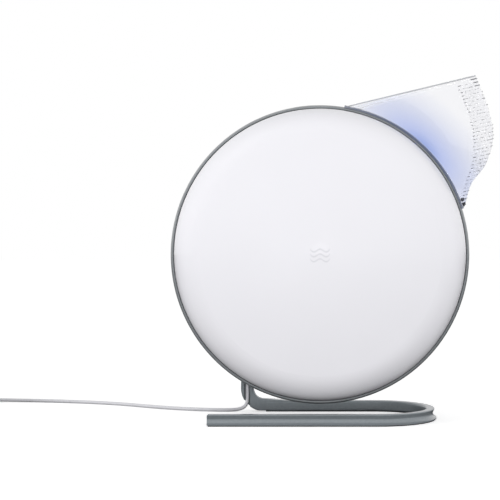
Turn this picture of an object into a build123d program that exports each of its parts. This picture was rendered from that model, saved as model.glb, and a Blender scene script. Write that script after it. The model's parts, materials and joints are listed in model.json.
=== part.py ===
from build123d import *
from math import atan2, cos, degrees, hypot, pi, radians, sin, tan
import os

# A personal air purifier for a desk. A flat round body turns on a hub at the top of a bent-bar
# stand. A fan inside it draws air in around the front cover, through a round filter, and blows
# it out of a clear diffuser that sticks out of the rim, lit by a row of blue lamps. The power
# lead runs down a groove in the stand's arm and lies on the desk.
#
# Lengths are millimetres. Pieces are drawn about the centre of the round body, with u to the
# right, w to the back and v up, and save() moves them to the frame of the part: +Z up, the
# origin on the desk in the middle of the object.

# ---- Driving dimensions ----------------------------------------------------------------
RING_R = 135.0          # outer radius of the round body, at the crown of its rim
RING_EDGE_R = 132.4     # outer radius at the rim's front and back edges
RING_HALF = 14.0        # half the width of its rim
RING_WALL = 4.0
AXIS_Z = 151.0          # height of the body's axis above the desk
DOME_DEPTH = 60.0       # from the middle plane to the top of either cover
STAND_BACK = 75.0       # from the middle plane to the back of the stand
DIFFUSER_REACH = 156.5  # from the axis to the right end of the diffuser
FIT = 0.05              # radial clearance of a running fit
GAP = 0.3               # clearance between curved faces that move apart
BEYOND = 20.0           # how far a cutting tool reaches past what it cuts

AXIS_X = -(DIFFUSER_REACH - RING_R) / 2
MID_Y = -(STAND_BACK - DOME_DEPTH) / 2
RING_IN = RING_R - RING_WALL
DESK = -AXIS_Z

# Covers: a short straight rim, a rounded edge and a shallow crown
COVER_R = 129.6
COVER_RIM = 15.0        # from the middle plane to the edge of the rim
COVER_EDGE_W = 19.6     # where the straight rim ends and the rounded edge begins
COVER_EDGE_R = 30.0
COVER_WALL = 2.2
POST_ANGLES = (0, 90, 180, 270)
POST_AT = 121.0         # pitch radius of the posts that carry the covers
POST_R = 5.0
CATCH_W = 26.4          # where the front cover's catch plates meet the magnets

# Outlet slot in the rim, as angles from the right, turning up
SLOT_START, SLOT_END = 18.8, 77.6
SLOT_HALF = 12.0

# Fan chamber, between two flat bulkheads
CHAMBER_HALF = 10.0
BULKHEAD_T = 3.0
BULKHEAD_R = RING_IN - 0.2
BULKHEAD_W = CHAMBER_HALF + BULKHEAD_T
EYE_R = 60.0
VOLUTE_START_R, VOLUTE_END_R = 88.0, 128.6
VOLUTE_SWEEP = 360 - (SLOT_END - SLOT_START)
VOLUTE_T = 2.0
LUG_ANGLES = (160, 185, 230, 275, 320, 365)
LUG_AT = 127.5
BOSS_BORE_R = 1.4       # for the screws of the rear cover

# Fan and motor
BLADES = 28
BLADE_IN, BLADE_OUT = 54.0, 80.0
BLADE_LEAN = 24.0       # degrees that a blade trails over its length
WHEEL_FRONT, WHEEL_BACK = -9.0, 8.5
ROTOR_R = 20.0
ROTOR_FRONT = -7.0
SHAFT_R = 2.0
BEARING_R = 5.0
STATOR_ARMS = 9
MOTOR_SCREW_AT = 10.0
MOTOR_SCREW_ANGLES = (30, 150, 270)

# Filter cartridge
FILTER_R = 106.0
FILTER_FRONT, FILTER_BACK = 40.0, 15.0
FILTER_WALL = 3.5
PLEAT_PITCH = 8.0
SHEET_T = 4.2           # height of the folded sheet, measured along the body's axis

# Hub: the body's sleeve and bush turn on the stand's axle
AXLE_R = 9.95
BUSH_R = 12.0
SLEEVE_R = 19.0
SLEEVE_END = 62.0
HEAD_FRONT, HEAD_BACK, HEAD_R = 63.0, 75.0, 24.0
FLANGE_R = 38.0
FLANGE_T = 3.0
FLANGE_SCREW_AT = 31.0
FLANGE_ANGLES = (45, 135, 225, 315)

# Diffuser
JET_RISE = 13.4         # slope of its top edge and of its cells, in degrees
WALL_T = 2.0
DIFFUSER_HALF = 11.7
COLLAR_T = 1.5          # thickness of the collar's flange on the rim
SADDLE_R = RING_R + GAP + COLLAR_T
CELL_PITCH = 3.1
CELL_WALL = 0.55
CELL_ROWS, CELL_COLUMNS = 37, 3
LATCH_ANGLES = (19.4, 21.2)
LATCH_T = 1.8

# Stand: a flat U on the desk, bent up at the back left into the arm
FOOT_T = 1.0
BAR_W, BAR_TOP = 9.5, 10.5
LEG_END_U = -99.5
LEG_END_ROUND = 1.6     # radius of the front leg's rounded end
LEG_FRONT_W = -31.5
LEG_BACK_W = STAND_BACK - BAR_W / 2
LEG_JOIN_U = -52.0      # where the back leg runs into the arm's bend
TURN_U = 51.5
TURN_R = (LEG_BACK_W - LEG_FRONT_W) / 2
TURN_W = (LEG_BACK_W + LEG_FRONT_W) / 2
ARM_U = -70.0
ARM_W = 12.2
ARM_FRONT = 66.0
ARM_KNEE_Z = 52.8       # where its upright line meets the line that leans to the hub
BEND_R, SWEEP_R = 16.0, 90.0
GROOVE_W, GROOVE_DEPTH = 5.6, 5.2
JACK_AT = 18.7          # from the hub's centre to the middle of the lead's jack

# Power lead
LEAD_D = 3.5
LEAD_W = 68.9
LEAD_START_Z = 13.5
CLIPS_AT = (52, 84)     # from the hub's centre, along the arm

# Power button, on the rim's back half at the upper left
BUTTON_ANGLE = 112.0
BUTTON_L, BUTTON_W, BUTTON_AT_W = 12.0, 5.5, 6.0
SWITCH_TOP = RING_IN - 2.8

# Control board, on four posts behind the rear bulkhead
BOARD_V, BOARD_W = -74.0, 19.2
BOARD_T = 1.6
BOARD_L, BOARD_H = 80.0, 46.0
BOARD_HOLES = [(u, v) for u in (-36, 36) for v in (BOARD_V - 19, BOARD_V + 19)]


# ---- Helpers ---------------------------------------------------------------------------
def polar(radius, angle):
    """A point in the body's plane, at an angle from the right, turning up."""
    return radius * cos(radians(angle)), radius * sin(radians(angle))


def plate(sketch, w0, w1):
    """A drawing in the body's plane made solid from depth w0 to depth w1."""
    return extrude(Plane((0, w1, 0), x_dir=(1, 0, 0), z_dir=(0, -1, 0)) * sketch, w1 - w0)


def tube(r0, r1, w0, w1):
    """A round tube along the body's axis, or a solid disc when r0 is 0."""
    sketch = Circle(r1) - Circle(r0) if r0 else Circle(r1)
    return plate(sketch, w0, w1)


def sector(r0, r1, a0, a1):
    """A flat piece of a ring between two radii and two angles."""
    middle = (a0 + a1) / 2
    outer = ThreePointArc(polar(r1, a0), polar(r1, middle), polar(r1, a1))
    inner = ThreePointArc(polar(r0, a1), polar(r0, middle), polar(r0, a0))
    ends = [Line(polar(r1, a1), polar(r0, a1)), Line(polar(r0, a0), polar(r1, a0))]
    return make_face([outer, ends[0], inner, ends[1]])


def pegs(radius, angles, r, w0, w1):
    """Equal round pegs along the body's axis, on a pitch circle."""
    peg = tube(0, r, w0, w1)
    return [Pos(u, 0, v) * peg for u, v in (polar(radius, angle) for angle in angles)]


def cut_all(shape, tools):
    for tool in tools:
        shape -= tool
    return shape


def fuse_all(shape, pieces):
    for piece in pieces:
        shape += piece
    return shape


def screws(radius, angles, r, head_r, head_w, tip_w):
    """Pan-head screws along the body's axis, from the head's outer face to the tip."""
    step = 1.8 if tip_w > head_w else -1.8
    found = []
    for u, v in (polar(radius, angle) for angle in angles):
        head = tube(0, head_r, *sorted((head_w, head_w + step)))
        slot = plate(Rectangle(head_r * 1.3, 0.8), *sorted((head_w, head_w + step / 2)))
        shank = tube(0, r, *sorted((head_w + step, tip_w)))
        found.append(Pos(u, 0, v) * (head - slot + shank))
    return found


def save(name, shape):
    """Write one node, moved from the body's centre to the frame of the part."""
    solids = shape if isinstance(shape, list) else [shape]
    solids = [solid for piece in solids for solid in piece.solids()]
    node = solids[0] if len(solids) == 1 else Compound(children=solids)
    placed = Pos(AXIS_X, MID_Y, AXIS_Z) * node
    placed.label = name
    export_step(placed, f"parts/{name}.step")


# ---- Covers ----------------------------------------------------------------------------
def dome_profile(inset):
    """Half a cover's outer profile, as radius and depth, moved inwards by inset."""
    crown_r = COVER_R - COVER_EDGE_R
    edge = (crown_r, COVER_EDGE_W)
    # The crown's centre lies on the axis, and its circle touches the rounded edge's circle
    crown_radius = ((crown_r ** 2 + (DOME_DEPTH - COVER_EDGE_W) ** 2 - COVER_EDGE_R ** 2)
                    / (2 * (DOME_DEPTH - COVER_EDGE_W - COVER_EDGE_R)))
    centre_w = DOME_DEPTH - crown_radius
    slope = atan2(edge[1] - centre_w, edge[0])
    r_edge = COVER_EDGE_R - inset
    r_crown = crown_radius - inset
    joint = (r_crown * cos(slope), centre_w + r_crown * sin(slope))
    half = slope / 2
    knee = (edge[0] + r_edge * cos(half), edge[1] + r_edge * sin(half))
    crown_mid = (slope + pi / 2) / 2
    high = (r_crown * cos(crown_mid), centre_w + r_crown * sin(crown_mid))
    return [
        Line((edge[0] + r_edge, COVER_RIM), (edge[0] + r_edge, COVER_EDGE_W)),
        ThreePointArc((edge[0] + r_edge, COVER_EDGE_W), knee, joint),
        ThreePointArc(joint, high, (0, centre_w + r_crown)),
    ]


def dome_solid(inset):
    """Everything under a cover's surface, opening to the back (towards w = 0)."""
    lines = dome_profile(inset)
    rim = lines[0] @ 0
    top = lines[-1] @ 1
    lines += [Line(top, (0, COVER_RIM)), Line((0, COVER_RIM), rim)]
    return revolve(make_face(lines), Axis.Y)


def cover_shell():
    """An empty cover with its dome at positive w."""
    return dome_solid(0) - dome_solid(COVER_WALL)


def make_front_cover():
    turn = Rot(0, 0, 180)
    shell = turn * cover_shell()
    inside = turn * dome_solid(COVER_WALL / 2)
    bosses = [boss & inside for boss in pegs(POST_AT, POST_ANGLES, POST_R, -DOME_DEPTH,
                                             -CATCH_W - 1.0)]
    return fuse_all(shell, bosses)


def make_rear_cover():
    inside = dome_solid(COVER_WALL / 2)
    bosses = [boss & inside for boss in pegs(POST_AT, POST_ANGLES, POST_R, BULKHEAD_W,
                                             DOME_DEPTH)]
    shell = fuse_all(cover_shell(), bosses)
    shell -= tube(0, SLEEVE_R + 0.8, 0, DOME_DEPTH + BEYOND)
    return cut_all(shell, pegs(POST_AT, POST_ANGLES, BOSS_BORE_R, 0, 28))


def make_cover_mark():
    """Three shallow waves in the middle of the front cover, a mark that means moving air."""
    wave_w, wave_h = 4.2, 1.1
    waves = []
    for row in (-4.2, 0.0, 4.2):
        points = [(wave_w * step, row + wave_h * (-1) ** step) for step in (-2, -1, 0, 1, 2)]
        crest = Spline(*points)
        trough = Spline(*[(u, v - 1.3) for u, v in reversed(points)])
        ends = [Line(crest @ 1, trough @ 0), Line(trough @ 1, crest @ 0)]
        waves.append(plate(make_face([crest, ends[0], trough, ends[1]]), -DOME_DEPTH - 2, 0))
    skin = Rot(0, 0, 180) * (dome_solid(-0.12) - dome_solid(0))
    return [wave & skin for wave in waves]


# ---- Rim and fan chamber ---------------------------------------------------------------
def crowned_disc(grow):
    """Everything inside the rim's crowned outer face, with its radius grown by an amount."""
    edge, crown = RING_EDGE_R + grow, RING_R + grow
    face = ThreePointArc((edge, -RING_HALF), (crown, 0), (edge, RING_HALF))
    corners = [(edge, RING_HALF), (0, RING_HALF), (0, -RING_HALF), (edge, -RING_HALF)]
    return revolve(make_face([face, Polyline(*corners)]), Axis.Y)


def make_ring(back):
    """One half of the rim, the front one or the back one."""
    blank = crowned_disc(0) & tube(RING_IN, RING_R + BEYOND, -RING_HALF, 0)
    outer_edges = blank.edges().filter_by(GeomType.CIRCLE).group_by(Axis.Y)[0]
    blank = fillet(outer_edges, 0.5)
    slot = plate(sector(RING_IN - 2, RING_R + 2, SLOT_START, SLOT_END), -SLOT_HALF, 1)
    half = blank - slot
    for angle in LUG_ANGLES:
        half += plate(sector(LUG_AT - 4, RING_IN + 0.5, angle - 2.2, angle + 2.2),
                      -CHAMBER_HALF, 0)
    half = cut_all(half, pegs(LUG_AT, LUG_ANGLES, 1.5, -RING_HALF, 1))
    if back:
        half = half.mirror(Plane.XZ)
        half -= button_blank(GAP, RING_IN - 3, RING_R + 3)
    return half


def make_front_bulkhead():
    plate_w = (-BULKHEAD_W, -CHAMBER_HALF)
    body = tube(EYE_R, BULKHEAD_R, *plate_w)
    body += tube(EYE_R, EYE_R + 2.5, -BULKHEAD_W - 1.5, -BULKHEAD_W)
    posts = pegs(POST_AT, POST_ANGLES, POST_R, -CATCH_W + 3.0, -BULKHEAD_W)
    body = fuse_all(body, posts)
    return cut_all(body, pegs(LUG_AT, LUG_ANGLES, 1.7, -BULKHEAD_W - BEYOND, 0))


def make_rear_bulkhead():
    body = tube(0, BULKHEAD_R, CHAMBER_HALF, BULKHEAD_W)
    for radius, angles, r in ((POST_AT, POST_ANGLES, 1.7), (LUG_AT, LUG_ANGLES, 1.5),
                              (FLANGE_SCREW_AT, FLANGE_ANGLES, 1.5),
                              (MOTOR_SCREW_AT, MOTOR_SCREW_ANGLES, 1.5)):
        body = cut_all(body, pegs(radius, angles, r, 0, BEYOND))
    return body


def volute_radius(angle):
    """Inner radius of the spiral wall, which widens clockwise from the outlet's lower end."""
    turned = (SLOT_START - angle) % 360
    return VOLUTE_START_R + (VOLUTE_END_R - VOLUTE_START_R) * turned / VOLUTE_SWEEP


def make_volute_wall():
    """The spiral wall around the fan, with the tongue that closes it at the outlet."""
    steps = 16
    angles = [SLOT_START - step * VOLUTE_SWEEP / steps for step in range(steps + 1)]
    inner = Spline(*[polar(volute_radius(angle), angle) for angle in angles])
    outer = Spline(*[polar(volute_radius(angle) + VOLUTE_T, angle) for angle in reversed(angles)])
    ends = [Line(inner @ 1, outer @ 0), Line(outer @ 1, inner @ 0)]
    wall = plate(make_face([inner, ends[0], outer, ends[1]]), -CHAMBER_HALF, CHAMBER_HALF)
    tongue = sector(VOLUTE_START_R, RING_IN - 0.2, SLOT_START - 2.2, SLOT_START - 1.0)
    return wall + plate(tongue, -CHAMBER_HALF, CHAMBER_HALF)


# ---- Fan -------------------------------------------------------------------------------
def make_impeller():
    """A wheel of backward-leaning blades between a back plate and a front ring."""
    wheel = tube(ROTOR_R, BLADE_OUT, WHEEL_BACK - 1.6, WHEEL_BACK)
    wheel += tube(ROTOR_R, ROTOR_R + 2, -5, WHEEL_BACK)
    wheel += tube(EYE_R + 1, BLADE_OUT, WHEEL_FRONT, WHEEL_FRONT + 1.2)
    tip = BLADE_OUT - 1.5
    start, end = polar(BLADE_IN, 0), polar(tip, BLADE_LEAN)
    middle = polar((BLADE_IN + tip) / 2, BLADE_LEAN * 0.36)
    face = ThreePointArc(start, middle, end)
    rear = ThreePointArc(*[(u - 0.4, v + 1.2) for u, v in (end, middle, start)])
    outline = make_face([face, Line(face @ 1, rear @ 0), rear, Line(rear @ 1, face @ 0)])
    blade = plate(outline, WHEEL_FRONT + 0.4, WHEEL_BACK - 0.8)
    return fuse_all(wheel, [Rot(0, 360 * turn / BLADES, 0) * blade for turn in range(BLADES)])


def make_motor_base():
    """The motor's fixed plate and the bearing tube that its shaft turns in."""
    base = tube(SHAFT_R + FIT, ROTOR_R, 7.6, CHAMBER_HALF)
    base += tube(SHAFT_R + FIT, BEARING_R, -4, 7.6)
    return cut_all(base, pegs(MOTOR_SCREW_AT, MOTOR_SCREW_ANGLES, 1.5, 7, BEYOND))


def make_motor_stator():
    """An iron core with a coil on each arm, pressed on the bearing tube."""
    core = tube(BEARING_R, 8.0, -3, 6)
    for turn in range(STATOR_ARMS):
        arm = Pos(11.0, 0, 0) * Box(7.5, 5.0, 2.6)
        shoe = plate(sector(14.4, 16.4, -16, 16), -1, 4)
        coil = Pos(11.0, 1.5, 0) * fillet(Box(4.6, 8.0, 5.2).edges(), 0.8)
        core += Rot(0, 360 / STATOR_ARMS * turn, 0) * (Pos(0, 1.5, 0) * arm + shoe + coil)
    return core


def make_motor_rotor():
    """The cup that carries the magnets and the fan, open at the back."""
    cup = tube(ROTOR_R - 1.2, ROTOR_R, ROTOR_FRONT, 6.5)
    return cup + tube(SHAFT_R, ROTOR_R, ROTOR_FRONT, ROTOR_FRONT + 1.4)


# ---- Filter ----------------------------------------------------------------------------
def make_filter_frame():
    """The cartridge's rim, with a lip and crossed bars behind the pleats."""
    frame = tube(FILTER_R - FILTER_WALL, FILTER_R, -FILTER_FRONT, -FILTER_BACK)
    frame += tube(FILTER_R - 8, FILTER_R, -FILTER_BACK - 1.5, -FILTER_BACK)
    for angle in (0, 60, 120):
        bar = Rot(0, angle, 0) * Box(2 * FILTER_R - 8, 1.5, 3)
        frame += Pos(0, -FILTER_BACK - 0.75, 0) * bar
    return frame


def make_filter_pleats():
    """One folded sheet, cut round."""
    front, back = FILTER_FRONT - 2.0, FILTER_BACK + 1.6
    count = int(2 * (FILTER_R - FILTER_WALL) / PLEAT_PITCH) + 1
    rise = (front - back - SHEET_T) / 2
    left = -count * PLEAT_PITCH / 2
    crests = [(left + step * PLEAT_PITCH / 2, rise * (-1) ** step) for step in range(2 * count + 1)]
    near = [(x, y + SHEET_T) for x, y in reversed(crests)]
    sheet_face = make_face(Polyline(*crests, *near, close=True))
    length = 2 * FILTER_R
    folded = Pos(0, -(front + back + SHEET_T) / 2, -length / 2) * extrude(sheet_face, length)
    return folded & tube(0, FILTER_R - FILTER_WALL - 0.1, -FILTER_FRONT, -FILTER_BACK)


def make_prefilter():
    """Rings and spokes that hold the coarse mesh in front of the pleats."""
    w0, w1 = -FILTER_FRONT, -FILTER_FRONT + 1.6
    net = tube(FILTER_R - 6, FILTER_R - FILTER_WALL - 0.1, w0, w1)
    for radius in (14, 34, 54, 74):
        net += tube(radius, radius + 1.6, w0, w1)
    for turn in range(12):
        spoke = Pos((FILTER_R + 10) / 2, (w0 + w1) / 2, 0) * Box(FILTER_R - 18, 1.6, 1.4)
        net += Rot(0, 30 * turn, 0) * spoke
    return net


def make_filter_tab():
    """A folded pull tab on the cartridge's front edge."""
    upright = Pos(0, -FILTER_FRONT - 3, FILTER_R - 2) * Box(18, 6, 1.2)
    fold = Pos(0, -FILTER_FRONT - 5.4, FILTER_R - 9) * Box(18, 1.2, 15)
    return upright + fold


# ---- Hub -------------------------------------------------------------------------------
def make_hub_flange():
    """The body's side of the hub: a flange on the bulkhead and a sleeve through the cover."""
    flange = tube(0, FLANGE_R, BULKHEAD_W, BULKHEAD_W + FLANGE_T)
    flange += tube(0, SLEEVE_R, BULKHEAD_W, SLEEVE_END)
    flange -= tube(0, BUSH_R, 0, SLEEVE_END + BEYOND)
    flange -= tube(0, 15, 0, 22)
    return cut_all(flange, pegs(FLANGE_SCREW_AT, FLANGE_ANGLES, 1.7, 0, BEYOND))


def make_axle():
    """A hollow axle with a head inside the body and a threaded end in the stand's head."""
    axle = tube(4, 14, 17.4, 21.4) + tube(4, AXLE_R, 21.4, 73.0)
    for step in range(3):
        axle -= tube(AXLE_R - 0.6, AXLE_R + 1, 70.4 + step * 0.9, 70.8 + step * 0.9)
    return axle


def make_axle_nut():
    return plate(RegularPolygon(13.0, 6), 70.0, 73.0) - tube(0, AXLE_R, HEAD_FRONT, HEAD_BACK)


# ---- Stand -----------------------------------------------------------------------------
def base_path():
    """The middle line of the U on the desk, from the front leg's end round to the back leg."""
    front = Line((LEG_END_U, LEG_FRONT_W), (TURN_U, LEG_FRONT_W))
    turn = ThreePointArc((TURN_U, LEG_FRONT_W), (TURN_U + TURN_R, TURN_W), (TURN_U, LEG_BACK_W))
    back = Line((TURN_U, LEG_BACK_W), (LEG_JOIN_U, LEG_BACK_W))
    return Wire([front, turn, back])


def swept(section, level):
    """A section, drawn as outwards and up, swept along the U at a height over the desk."""
    start = Plane((LEG_END_U, LEG_FRONT_W, 0), x_dir=(0, -1, 0), z_dir=(-1, 0, 0))
    flat = sweep(start * section, base_path())
    return Pos(0, 0, DESK + level) * flat


def bar_section():
    """The bar's section: flat inside, coved outside between a lip and a wide foot."""
    half, tall = BAR_W / 2, BAR_TOP - FOOT_T
    cove = ThreePointArc((half, 0.9), (half - 2.7, 2.9), (half - 3.3, 5.4))
    lip = ThreePointArc((half - 3.3, 5.4), (half - 2.5, 7.0), (half - 1.9, 8.4))
    lines = [
        Line((1 - half, 0), (half, 0)), Line((half, 0), (half, 0.9)), cove, lip,
        ThreePointArc((half - 1.9, 8.4), (half - 2.1, 9.2), (half - 2.8, tall)),
        Line((half - 2.8, tall), (2 - half, tall)),
        ThreePointArc((2 - half, tall), (0.6 - half, tall - 0.6), (-half, tall - 2)),
        Line((-half, tall - 2), (-half, 1)), Line((-half, 1), (1 - half, 0)),
    ]
    return make_face(lines)


def end_rounding():
    """What comes off the front leg's end: its two upright edges and its top edge."""
    r = LEG_END_ROUND
    middle_v, tall = DESK + BAR_TOP / 2, BAR_TOP + BEYOND
    off = []
    for side in (-1, 1):
        edge_w = LEG_FRONT_W + side * BAR_W / 2
        block = Pos(LEG_END_U, edge_w, middle_v) * Box(2 * r, 2 * r, tall)
        round_post = Pos(LEG_END_U + r, edge_w - side * r, middle_v) * Cylinder(r, tall)
        off.append(block - round_post)
    block = Pos(LEG_END_U, LEG_FRONT_W, DESK + BAR_TOP) * Box(2 * r, 2 * BAR_W, 2 * r)
    round_bar = Rot(90, 0, 0) * Cylinder(r, 2 * BAR_W)
    off.append(block - Pos(LEG_END_U + r, LEG_FRONT_W, DESK + BAR_TOP - r) * round_bar)
    return off


def lean_point(distance):
    """The point of the leaning line at a distance from the hub's centre."""
    reach = hypot(ARM_U, DESK + ARM_KNEE_Z)
    return ARM_U * distance / reach, (DESK + ARM_KNEE_Z) * distance / reach


LEAN_TURN = -degrees(atan2(DESK + ARM_KNEE_Z, ARM_U))


def make_arm():
    """The flat bar that leaves the back leg, bends up and leans over to the hub."""
    heel_v = DESK + BAR_TOP - 4.2
    points = [(-22.0, heel_v), (ARM_U, heel_v), (ARM_U, DESK + ARM_KNEE_Z), (0, 0)]
    thick = STAND_BACK - ARM_FRONT
    line = FilletPolyline(*[(u, ARM_FRONT + thick / 2, v) for u, v in points],
                          radius=[BEND_R, SWEEP_R])
    start = Plane(line @ 0, x_dir=(0, 1, 0), z_dir=(-1, 0, 0))
    arm = sweep(start * RectangleRounded(thick, ARM_W, 1.6), line)
    # Past the bend the bar keeps the height of the U on the desk
    top = DESK + BAR_TOP
    over = make_face(Polyline((-54, top + 1.9), (-30, top), (-10, top), (-10, top + BEYOND),
                              (-54, top + BEYOND), close=True))
    arm -= plate(over, ARM_FRONT - BEYOND, STAND_BACK + BEYOND)
    under = Box(4 * RING_R, 4 * BEYOND, BEYOND)
    return arm - Pos(0, STAND_BACK, DESK + FOOT_T - BEYOND / 2) * under


def make_stand():
    head = fillet(tube(0, HEAD_R, HEAD_FRONT, HEAD_BACK).edges(), 1.0)
    leg = cut_all(swept(bar_section(), FOOT_T), end_rounding())
    stand = leg + make_arm() + head
    stand -= tube(0, AXLE_R, HEAD_FRONT - BEYOND, HEAD_BACK + BEYOND)
    stand -= tube(0, 18.0, 70.0, HEAD_BACK + BEYOND)
    return stand - groove() - jack_block(9.6, 8.2)


def groove():
    """The channel for the lead, in the arm's front face and out through the bend."""
    top = lean_point(HEAD_R - 4)
    points = [(ARM_U, DESK - 5), (ARM_U, DESK + ARM_KNEE_Z), top]
    depth = GROOVE_DEPTH + BEYOND
    line = FilletPolyline(*[(u, ARM_FRONT + GROOVE_DEPTH - depth / 2, v) for u, v in points],
                          radius=[SWEEP_R])
    start = Plane(line @ 0, x_dir=(0, 1, 0), z_dir=(0, 0, 1))
    return sweep(start * Rectangle(depth, GROOVE_W), line)


def jack_block(length, width):
    """The jack's place in the hub's head, at the top of the groove."""
    u, v = lean_point(JACK_AT)
    turn = Rot(0, LEAN_TURN, 0)
    return Pos(u, LEAD_W, v) * turn * Box(length, width, width)


def make_foot_strip():
    """The soft strip under the whole U."""
    half = BAR_W / 2 - 0.75
    section = make_face(Polyline((-half, 0), (half, 0), (half, FOOT_T), (-half, FOOT_T), close=True))
    strip = swept(section, 0)
    return strip - Pos(LEG_END_U, LEG_FRONT_W, DESK) * Box(2, BEYOND, 2 * BEYOND)


# ---- Power lead ------------------------------------------------------------------------
# The free lead from the groove's mouth, over the desk to its coil, in the part's own frame
ROUTE = [
    (-80.75, 61.4, 13.5),
    (-80.85, 61.4, 8.6),
    (-83.3, 61.2, 4.2),
    (-89.6, 60.2, 1.75),
    (-101.0, 57.4, 1.75),
    (-121.4, 60.0, 1.75),
    (-150.0, 69.0, 1.75),
    (-176.0, 83.0, 1.75),
    (-209.0, 104.5, 1.75),
    (-246.0, 119.5, 1.75),
    (-287.0, 129.5, 1.75),
    (-328.0, 133.0, 2.1),
    (-364.0, 132.6, 2.65),
]
COIL_AT = (-364.0, 108.7)
COIL_MEAN_R = 20.4
COIL_ROWS, COIL_LAYERS = 3, 4
COIL_LIFT = 0.9         # the thickness of the tie under the coil
# The lead's end, from the coil's top layer down to the plug on the desk
TAIL = [
    (-387.9, 108.7, 13.15),
    (-388.3, 98.0, 12.2),
    (-387.4, 84.0, 7.6),
    (-385.4, 69.5, 3.9),
    (-384.0, 58.0, 3.3),
]
PLUG_Z = 3.3


def bend_radii(points):
    """One radius for each corner, as large as the corner's two runs allow."""
    radii = []
    for before, corner, after in zip(points, points[1:], points[2:]):
        first, second = Vector(*corner) - Vector(*before), Vector(*after) - Vector(*corner)
        turn = radians(first.get_angle(second))
        radii.append(0.45 * min(first.length, second.length) / tan(turn / 2))
    return radii


def lead_tube(name, points):
    """A round lead along straight runs joined by tangent arcs."""
    radii = bend_radii(points)
    line = FilletPolyline(*points, radius=radii) if radii else Line(*points)
    start = Plane(line @ 0, z_dir=line % 0)
    solid = sweep(start * Circle(LEAD_D / 2), line)
    exact = line.length * pi * LEAD_D ** 2 / 4
    print(name, "bend radii", [round(radius, 1) for radius in radii], "length",
          round(line.length, 1), "volume over section x length", round(solid.volume / exact, 4))
    return solid


def in_body_frame(solid):
    """Undo the move that save() makes, for what is drawn in the part's own frame."""
    return Pos(-AXIS_X, -MID_Y, -AXIS_Z) * solid


def make_arm_lead():
    """The stretch of lead in the arm's groove, from its mouth up to the plug in the jack."""
    points = [(AXIS_X + ARM_U, MID_Y + LEAD_W, LEAD_START_Z),
              (AXIS_X + ARM_U, MID_Y + LEAD_W, ARM_KNEE_Z)]
    u, v = lean_point(HEAD_R + 15)
    points.append((AXIS_X + u, MID_Y + LEAD_W, AXIS_Z + v))
    line = FilletPolyline(*points, radius=[SWEEP_R])
    return sweep(Plane(line @ 0, z_dir=line % 0) * Circle(LEAD_D / 2), line)


def make_lead_plug():
    u, v = lean_point(HEAD_R + 7.25)
    return Pos(u, LEAD_W, v) * Rot(0, LEAN_TURN + 90, 0) * Cylinder(2.2, 15.5)


def make_lead_clips():
    """Snap-in bars that keep the lead in the groove."""
    thick = 1.1
    bar = Rot(0, LEAN_TURN + 90, 0) * Box(GROOVE_W, thick, 7)
    return [Pos(u, ARM_FRONT + thick / 2, v) * bar for u, v in map(lean_point, CLIPS_AT)]


def coil_section():
    """Inner and outer radius and height of the coil's turns together."""
    half = COIL_ROWS * LEAD_D / 2
    return COIL_MEAN_R - half, COIL_MEAN_R + half, COIL_LAYERS * LEAD_D


def make_coil():
    inner, outer, tall = coil_section()
    ring = Circle(outer) - Circle(inner)
    solid = extrude(ring, tall)
    solid = fillet(solid.edges().filter_by(GeomType.CIRCLE), 1.4)
    print("coil holds", round(COIL_ROWS * COIL_LAYERS * 2 * pi * COIL_MEAN_R), "mm of lead")
    return Pos(COIL_AT[0], COIL_AT[1], COIL_LIFT) * solid


def make_coil_tie():
    """A strap around the coil's turns at its front side."""
    inner, outer, tall = coil_section()
    loop = Box(9, outer - inner + 2 * COIL_LIFT + 1, tall + 2 * COIL_LIFT)
    loop = fillet(loop.edges().filter_by(Axis.X), 1.6)
    hole = Box(10, outer - inner + 1, tall)
    hole = fillet(hole.edges().filter_by(Axis.X), 1.2)
    middle = COIL_AT[1] - COIL_MEAN_R + 0.1
    return Pos(COIL_AT[0], middle, COIL_LIFT + tall / 2) * (loop - hole)


def make_plug_body():
    u, w, _ = TAIL[-1]
    body = Pos(u, w - 10.5, PLUG_Z) * Box(11, 19, 6.4)
    body = fillet(body.edges().filter_by(Axis.Y), 2.2)
    neck = Pos(u, w - 0.5, PLUG_Z) * Rot(90, 0, 0) * Cone(2.6, 2.1, 3)
    return body + neck - Pos(u, w, PLUG_Z) * Rot(90, 0, 0) * Cylinder(LEAD_D / 2, 4)


def make_plug_shell():
    u, w, _ = TAIL[-1]
    slot = SlotOverall(8.3, 2.5)
    bore = SlotOverall(7.4, 1.7)
    front = Plane((u, w - 20, PLUG_Z), x_dir=(1, 0, 0), z_dir=(0, -1, 0))
    return extrude(front * slot, 8.5) - extrude(front.offset(1.5) * bore, 8)


# ---- Diffuser --------------------------------------------------------------------------
# Its outline, from the top left where it meets the rim, along the straight top edge to the
# tip, down the bulging outlet and back in to the rim
TOP_START, TIP = (18.9, 131.9), (140.5, 161.2)
OUTLET = [TIP, (152.2, 131.5), (DIFFUSER_REACH, 106.8), (149.8, 81.1), (136.9, 63.6),
          (130.9, 43.4)]
CELLS_INSIDE = [(122.9, 151.0), (134.2, 121.4), (137.2, 103.0), (135.2, 79.0), (127.9, 57.0)]


def diffuser_outline():
    outlet = Spline(*OUTLET)
    inside = (60, 20)
    return make_face([Line(TOP_START, TIP), outlet, Line(OUTLET[-1], inside),
                      Line(inside, TOP_START)])


def over_collar(solid):
    """What lies outside the collar's flange."""
    return solid - crowned_disc(GAP + COLLAR_T)


def make_diffuser_wall(front):
    inner = DIFFUSER_HALF - WALL_T
    depths = (-DIFFUSER_HALF, -inner) if front else (inner, DIFFUSER_HALF)
    return over_collar(plate(diffuser_outline(), *depths))


def top_strip():
    """The straight strip along the top edge, one wall thick."""
    rise = radians(JET_RISE)
    drop = (WALL_T * sin(rise), -WALL_T * cos(rise))
    under = [(TIP[0] + drop[0], TIP[1] + drop[1]), (TOP_START[0] + drop[0],
                                                    TOP_START[1] + drop[1])]
    return make_face(Polyline(TOP_START, TIP, *under, close=True))


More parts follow.
